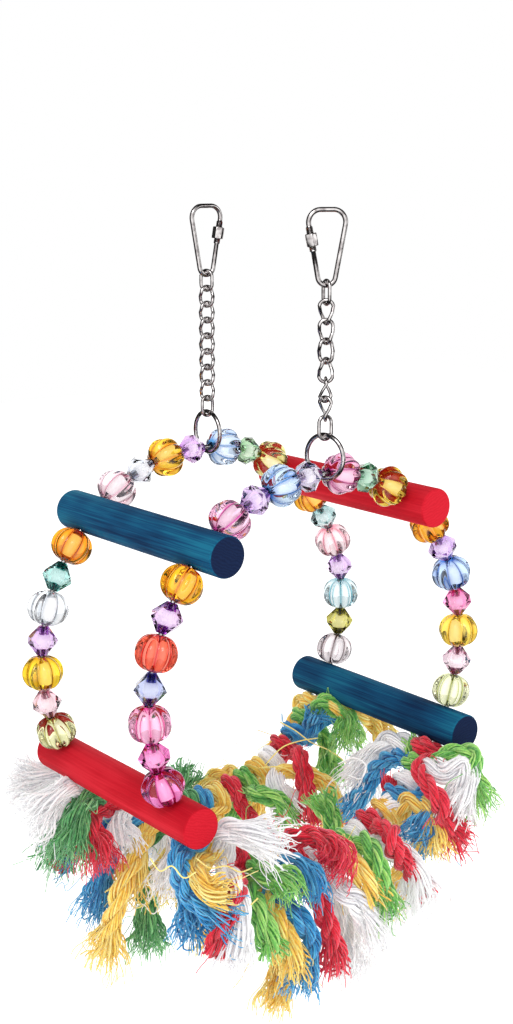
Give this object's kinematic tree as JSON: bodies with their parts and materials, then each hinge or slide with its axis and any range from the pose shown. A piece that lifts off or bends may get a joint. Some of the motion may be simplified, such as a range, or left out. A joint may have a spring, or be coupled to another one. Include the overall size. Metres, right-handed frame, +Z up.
{
  "type": "bird swing",
  "caption": "Hanging bird swing of beaded wire hoops joined by dyed wooden dowels, with a frayed cotton rope floor and chains with screw-lock quick links.",
  "frame": {"origin": "midway between the two quick links, at the height of the undersides of their crowns, where cage bars carry them", "axes": "+Z up, -Y the front hoop, +X to the right seen from the front; the hoops lie in planes parallel to XZ"},
  "size_m": [0.2399, 0.1798, 0.3984],
  "materials": {
    "nickel_plate": "bright nickel plate, polished",
    "hoop_wire": "drawn spring wire, nickel plated",
    "blue_wood": "turned hardwood, dyed blue, fine grain",
    "red_wood": "turned hardwood, dyed red, fine grain",
    "bead_clear_pink": "clear tinted acrylic over a white core, polished",
    "bead_orange": "clear tinted acrylic over a white core, polished",
    "bead_light_blue": "clear tinted acrylic over a white core, polished",
    "bead_pale_yellow": "clear tinted acrylic over a white core, polished",
    "bead_deep_orange": "clear tinted acrylic over a white core, polished",
    "bead_clear": "clear tinted acrylic over a white core, polished",
    "bead_yellow": "clear tinted acrylic over a white core, polished",
    "bead_yellow_green": "clear tinted acrylic over a white core, polished",
    "bead_pink": "clear tinted acrylic over a white core, polished",
    "bead_aqua": "clear tinted acrylic over a white core, polished",
    "bead_smoky_pink": "clear tinted acrylic over a white core, polished",
    "bead_magenta_pink": "clear tinted acrylic over a white core, polished",
    "bead_blue": "clear tinted acrylic over a white core, polished",
    "bead_rose_pink": "clear tinted acrylic over a white core, polished",
    "bead_amber": "clear tinted acrylic over a white core, polished",
    "bead_red": "clear tinted acrylic over a white core, polished",
    "bead_magenta": "clear tinted acrylic over a white core, polished",
    "bead_strong_blue": "clear tinted acrylic over a white core, polished",
    "bead_lime": "clear tinted acrylic over a white core, polished",
    "facet_clear_lilac": "clear tinted acrylic with flat facets over a white core, polished",
    "facet_teal_and_lilac": "clear tinted acrylic with flat facets over a white core, polished",
    "facet_pale_lilac": "clear tinted acrylic with flat facets over a white core, polished",
    "facet_thistle": "clear tinted acrylic with flat facets over a white core, polished",
    "facet_violet": "clear tinted acrylic with flat facets over a white core, polished",
    "facet_pink_lilac": "clear tinted acrylic with flat facets over a white core, polished",
    "rope_red": "three-strand cotton rope, frayed ends, matt",
    "rope_yellow": "three-strand cotton rope, frayed ends, matt",
    "rope_white": "three-strand cotton rope, frayed ends, matt",
    "rope_blue": "three-strand cotton rope, frayed ends, matt",
    "rope_green": "three-strand cotton rope, frayed ends, matt"
  },
  "bodies": {
    "hooks": {"quick_link_back": "nickel_plate", "quick_link_front": "nickel_plate"},
    "nut_back": {"sleeve_nut_back": "nickel_plate"},
    "nut_front": {"sleeve_nut_front": "nickel_plate"},
    "top_links": {"chain_back_top_link": "nickel_plate", "chain_front_top_link": "nickel_plate"},
    "chain_back": {"chain_back_links": "nickel_plate"},
    "chain_back_end": {"chain_back_bottom_link": "nickel_plate"},
    "chain_front": {"chain_front_links": "nickel_plate"},
    "chain_front_end": {"chain_front_bottom_link": "nickel_plate"},
    "drum": {"ring_back": "nickel_plate", "ring_front": "nickel_plate", "hoop_back": "hoop_wire", "hoop_front": "hoop_wire", "dowel_upper_left": "blue_wood", "dowel_upper_right": "red_wood", "dowel_lower_left": "red_wood", "dowel_lower_right": "blue_wood", "facet_beads_back_top": "facet_clear_lilac", "facet_beads_back_left": "facet_teal_and_lilac", "facet_beads_back_right": "facet_pale_lilac", "facet_beads_front_top": "facet_thistle", "facet_beads_front_left": "facet_violet", "facet_beads_front_right": "facet_pink_lilac", "rope_red": "rope_red", "rope_yellow": "rope_yellow", "rope_white": "rope_white", "rope_blue": "rope_blue", "rope_green": "rope_green"},
    "bead_back_top_1": {"pumpkin_bead_back_top_1": "bead_clear_pink"},
    "bead_back_top_2": {"pumpkin_bead_back_top_2": "bead_orange"},
    "bead_back_top_3": {"pumpkin_bead_back_top_3": "bead_light_blue"},
    "bead_back_top_4": {"pumpkin_bead_back_top_4": "bead_pale_yellow"},
    "bead_back_left_1": {"pumpkin_bead_back_left_1": "bead_deep_orange"},
    "bead_back_left_2": {"pumpkin_bead_back_left_2": "bead_clear"},
    "bead_back_left_3": {"pumpkin_bead_back_left_3": "bead_yellow"},
    "bead_back_left_4": {"pumpkin_bead_back_left_4": "bead_yellow_green"},
    "bead_back_right_1": {"pumpkin_bead_back_right_1": "bead_orange"},
    "bead_back_right_2": {"pumpkin_bead_back_right_2": "bead_pink"},
    "bead_back_right_3": {"pumpkin_bead_back_right_3": "bead_aqua"},
    "bead_back_right_4": {"pumpkin_bead_back_right_4": "bead_smoky_pink"},
    "bead_front_top_1": {"pumpkin_bead_front_top_1": "bead_magenta_pink"},
    "bead_front_top_2": {"pumpkin_bead_front_top_2": "bead_blue"},
    "bead_front_top_3": {"pumpkin_bead_front_top_3": "bead_rose_pink"},
    "bead_front_top_4": {"pumpkin_bead_front_top_4": "bead_amber"},
    "bead_front_left_1": {"pumpkin_bead_front_left_1": "bead_deep_orange"},
    "bead_front_left_2": {"pumpkin_bead_front_left_2": "bead_red"},
    "bead_front_left_3": {"pumpkin_bead_front_left_3": "bead_rose_pink"},
    "bead_front_left_4": {"pumpkin_bead_front_left_4": "bead_magenta"},
    "bead_front_right_1": {"pumpkin_bead_front_right_1": "bead_orange"},
    "bead_front_right_2": {"pumpkin_bead_front_right_2": "bead_strong_blue"},
    "bead_front_right_3": {"pumpkin_bead_front_right_3": "bead_yellow"},
    "bead_front_right_4": {"pumpkin_bead_front_right_4": "bead_lime"}
  },
  "joints": [
    {"name": "nut_back_travel", "type": "slide", "parent": "hooks", "child": "nut_back", "axis": [0.1853, 0, 0.9827], "range_m": [0, 0.005]},
    {"name": "nut_front_travel", "type": "slide", "parent": "hooks", "child": "nut_front", "axis": [-0.1693, 0.0754, 0.9827], "range_m": [0, 0.005]},
    {"name": "swing", "type": "hinge", "parent": "hooks", "child": "top_links", "pos_m": [0, 0, -0.0315], "axis": [0, 1, 0], "range_deg": [-25, 25]},
    {"name": "sway", "type": "hinge", "parent": "top_links", "child": "chain_back", "pos_m": [0, 0.0475, -0.0397], "axis": [1, 0, 0], "range_deg": [-12, 12]},
    {"name": "chain_back_end_turn", "type": "hinge", "parent": "chain_back", "child": "chain_back_end", "pos_m": [0, 0.0475, -0.0971], "axis": [1, 0, 0], "range_deg": [-12, 12]},
    {"name": "rock", "type": "hinge", "parent": "chain_back_end", "child": "drum", "pos_m": [0, 0.0475, -0.1051], "axis": [0, 1, 0], "range_deg": [-25, 25]},
    {"name": "chain_front_turn", "type": "hinge", "parent": "top_links", "child": "chain_front", "pos_m": [0, -0.0475, -0.04072], "axis": [1, 0, 0], "range_deg": [-13, 13]},
    {"name": "chain_front_end_turn", "type": "hinge", "parent": "chain_front", "child": "chain_front_end", "pos_m": [0, -0.0475, -0.09607], "axis": [1, 0, 0], "range_deg": [-13, 13]},
    {"name": "bead_back_top_1_spin", "type": "hinge", "parent": "drum", "child": "bead_back_top_1", "pos_m": [-0.05777, 0.0475, -0.13953], "axis": [0.8457, 0, 0.5336], "continuous": true},
    {"name": "bead_back_top_2_spin", "type": "hinge", "parent": "drum", "child": "bead_back_top_2", "pos_m": [-0.02716, 0.0475, -0.12674], "axis": [0.9739, 0, 0.2269], "continuous": true},
    {"name": "bead_back_top_3_spin", "type": "hinge", "parent": "drum", "child": "bead_back_top_3", "pos_m": [0.01061, 0.0475, -0.12529], "axis": [0.9885, 0, -0.1515], "continuous": true},
    {"name": "bead_back_top_4_spin", "type": "hinge", "parent": "drum", "child": "bead_back_top_4", "pos_m": [0.04212, 0.0475, -0.1357], "axis": [0.8842, 0, -0.4672], "continuous": true},
    {"name": "bead_back_left_1_spin", "type": "hinge", "parent": "drum", "child": "bead_back_left_1", "pos_m": [-0.0854, 0.0475, -0.16547], "axis": [0.5858, 0, 0.8104], "continuous": true},
    {"name": "bead_back_left_2_spin", "type": "hinge", "parent": "drum", "child": "bead_back_left_2", "pos_m": [-0.1001, 0.0475, -0.19522], "axis": [0.2878, 0, 0.9577], "continuous": true},
    {"name": "bead_back_left_3_spin", "type": "hinge", "parent": "drum", "child": "bead_back_left_3", "pos_m": [-0.10423, 0.0475, -0.22815], "axis": [-0.0421, 0, 0.9991], "continuous": true},
    {"name": "bead_back_left_4_spin", "type": "hinge", "parent": "drum", "child": "bead_back_left_4", "pos_m": [-0.09735, 0.0475, -0.26061], "axis": [-0.3673, 0, 0.9301], "continuous": true},
    {"name": "bead_back_right_1_spin", "type": "hinge", "parent": "drum", "child": "bead_back_right_1", "pos_m": [0.07166, 0.0475, -0.15944], "axis": [0.6463, 0, -0.7631], "continuous": true},
    {"name": "bead_back_right_2_spin", "type": "hinge", "parent": "drum", "child": "bead_back_right_2", "pos_m": [0.0886, 0.0475, -0.18798], "axis": [0.3604, 0, -0.9328], "continuous": true},
    {"name": "bead_back_right_3_spin", "type": "hinge", "parent": "drum", "child": "bead_back_right_3", "pos_m": [0.09525, 0.0475, -0.22049], "axis": [0.0347, 0, -0.9994], "continuous": true},
    {"name": "bead_back_right_4_spin", "type": "hinge", "parent": "drum", "child": "bead_back_right_4", "pos_m": [0.09087, 0.0475, -0.25338], "axis": [-0.2949, 0, -0.9555], "continuous": true},
    {"name": "bead_front_top_1_spin", "type": "hinge", "parent": "drum", "child": "bead_front_top_1", "pos_m": [-0.05777, -0.0475, -0.13953], "axis": [0.8457, 0, 0.5336], "continuous": true},
    {"name": "bead_front_top_2_spin", "type": "hinge", "parent": "drum", "child": "bead_front_top_2", "pos_m": [-0.02716, -0.0475, -0.12674], "axis": [0.9739, 0, 0.2269], "continuous": true},
    {"name": "bead_front_top_3_spin", "type": "hinge", "parent": "drum", "child": "bead_front_top_3", "pos_m": [0.01061, -0.0475, -0.12529], "axis": [0.9885, 0, -0.1515], "continuous": true},
    {"name": "bead_front_top_4_spin", "type": "hinge", "parent": "drum", "child": "bead_front_top_4", "pos_m": [0.04212, -0.0475, -0.1357], "axis": [0.8842, 0, -0.4672], "continuous": true},
    {"name": "bead_front_left_1_spin", "type": "hinge", "parent": "drum", "child": "bead_front_left_1", "pos_m": [-0.0854, -0.0475, -0.16547], "axis": [0.5858, 0, 0.8104], "continuous": true},
    {"name": "bead_front_left_2_spin", "type": "hinge", "parent": "drum", "child": "bead_front_left_2", "pos_m": [-0.1001, -0.0475, -0.19522], "axis": [0.2878, 0, 0.9577], "continuous": true},
    {"name": "bead_front_left_3_spin", "type": "hinge", "parent": "drum", "child": "bead_front_left_3", "pos_m": [-0.10423, -0.0475, -0.22815], "axis": [-0.0421, 0, 0.9991], "continuous": true},
    {"name": "bead_front_left_4_spin", "type": "hinge", "parent": "drum", "child": "bead_front_left_4", "pos_m": [-0.09735, -0.0475, -0.26061], "axis": [-0.3673, 0, 0.9301], "continuous": true},
    {"name": "bead_front_right_1_spin", "type": "hinge", "parent": "drum", "child": "bead_front_right_1", "pos_m": [0.07166, -0.0475, -0.15944], "axis": [0.6463, 0, -0.7631], "continuous": true},
    {"name": "bead_front_right_2_spin", "type": "hinge", "parent": "drum", "child": "bead_front_right_2", "pos_m": [0.0886, -0.0475, -0.18798], "axis": [0.3604, 0, -0.9328], "continuous": true},
    {"name": "bead_front_right_3_spin", "type": "hinge", "parent": "drum", "child": "bead_front_right_3", "pos_m": [0.09525, -0.0475, -0.22049], "axis": [0.0347, 0, -0.9994], "continuous": true},
    {"name": "bead_front_right_4_spin", "type": "hinge", "parent": "drum", "child": "bead_front_right_4", "pos_m": [0.09087, -0.0475, -0.25338], "axis": [-0.2949, 0, -0.9555], "continuous": true}
  ],
  "couplings": [
    {"joint": "chain_back_end_turn", "follows": "sway", "ratio": -1},
    {"joint": "chain_front_turn", "follows": "sway", "ratio": 1.037},
    {"joint": "chain_front_end_turn", "follows": "sway", "ratio": -1.037}
  ]
}
